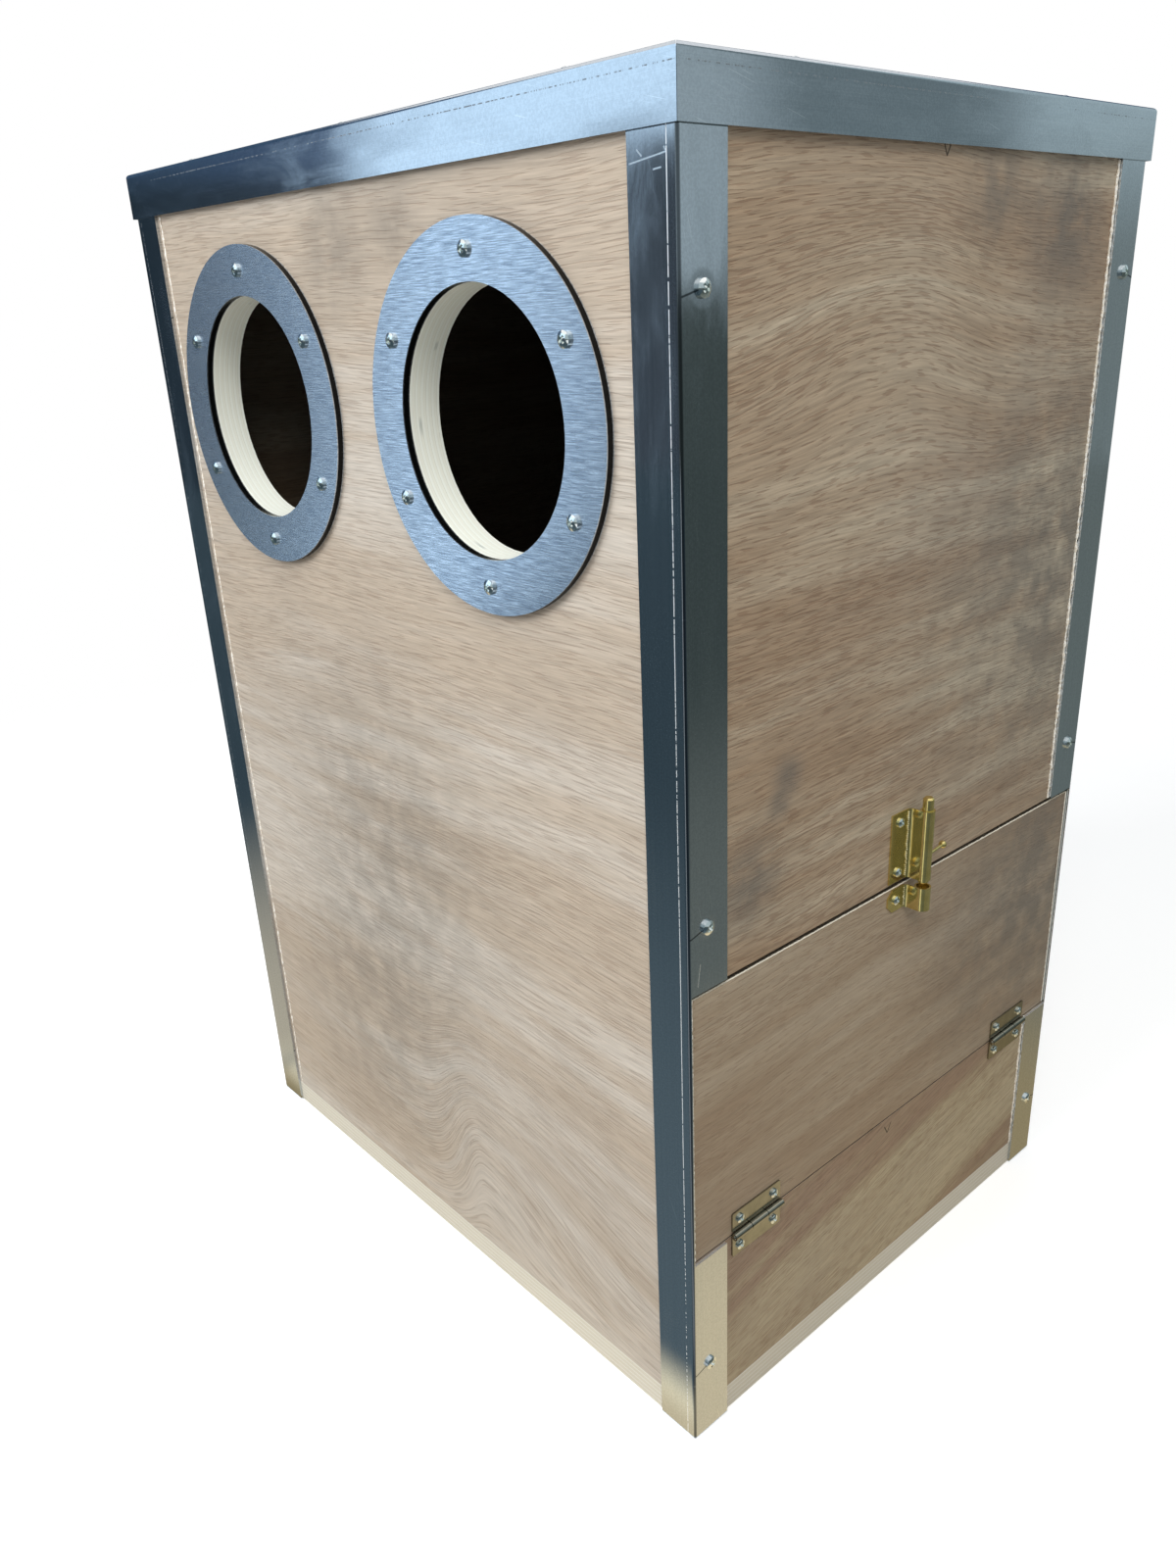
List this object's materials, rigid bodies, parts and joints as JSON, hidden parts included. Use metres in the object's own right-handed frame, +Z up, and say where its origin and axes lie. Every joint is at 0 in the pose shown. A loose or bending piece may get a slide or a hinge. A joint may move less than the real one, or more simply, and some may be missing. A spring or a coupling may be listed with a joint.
{
  "type": "cockatoo nest box",
  "caption": "Tall plywood nest box for large parrots, bound with folded metal angles, with round front entries in metal rings and a bottom-hinged inspection door with a sliding bolt.",
  "frame": {"origin": "centre of the base, on the surface that the box stands on", "axes": "+Z up, -Y the front with the two entries, +X the side with the inspection door"},
  "size_m": [0.4674, 0.3516, 0.6524],
  "materials": {
    "plywood": "bare hardwood-faced plywood, fine grain, pale layered edges",
    "folded_aluminium": "mill finish with fine rolling lines and light scratches",
    "composite_sheet": "brushed skins on a black core",
    "zinc_screws": "bright zinc plated",
    "zinc_hinges": "zinc plated pressed steel",
    "brass": "polished brass plated",
    "timber": "sawn softwood"
  },
  "bodies": {
    "box": {"floor_panel": "plywood", "front_panel": "plywood", "rear_panel": "plywood", "left_side_panel": "plywood", "right_upper_panel": "plywood", "right_lower_panel": "plywood", "roof_panel": "plywood", "corner_angle_front_left": "folded_aluminium", "corner_angle_front_right": "folded_aluminium", "corner_angle_rear_left": "folded_aluminium", "corner_angle_rear_right": "folded_aluminium", "top_trim_front": "folded_aluminium", "top_trim_rear": "folded_aluminium", "top_trim_left": "folded_aluminium", "top_trim_right": "folded_aluminium", "entry_ring_left": "composite_sheet", "entry_ring_right": "composite_sheet", "ring_screws_left": "zinc_screws", "ring_screws_right": "zinc_screws", "angle_screws_front_left": "zinc_screws", "angle_screws_front_right": "zinc_screws", "angle_screws_rear_left": "zinc_screws", "angle_screws_rear_right": "zinc_screws", "roof_screws": "zinc_screws", "floor_screws": "zinc_screws", "hinge_front_fixed_screws": "zinc_screws", "hinge_rear_fixed_screws": "zinc_screws", "bolt_screws": "zinc_screws", "hinge_front_fixed_leaf": "zinc_hinges", "hinge_front_pin": "zinc_hinges", "hinge_rear_fixed_leaf": "zinc_hinges", "hinge_rear_pin": "zinc_hinges", "bolt_barrel": "brass", "climbing_cleat_1": "timber", "climbing_cleat_2": "timber", "climbing_cleat_3": "timber", "climbing_cleat_4": "timber", "climbing_cleat_5": "timber", "climbing_cleat_6": "timber", "climbing_cleat_7": "timber"},
    "door": {"door_panel": "plywood", "hinge_front_door_leaf": "zinc_hinges", "hinge_rear_door_leaf": "zinc_hinges", "hinge_front_door_screws": "zinc_screws", "hinge_rear_door_screws": "zinc_screws", "bolt_keeper": "brass", "keeper_screw": "zinc_screws"},
    "bolt": {"bolt_rod": "brass", "bolt_knob": "brass"}
  },
  "joints": [
    {"name": "door_hinge", "type": "hinge", "parent": "box", "child": "door", "pos_m": [0.2271, 0, 0.1212], "axis": [0, 1, 0], "range_deg": [0, 135]},
    {"name": "bolt_slide", "type": "slide", "parent": "box", "child": "bolt", "axis": [0, 0, 1], "range_m": [-0.007, 0.008]}
  ]
}
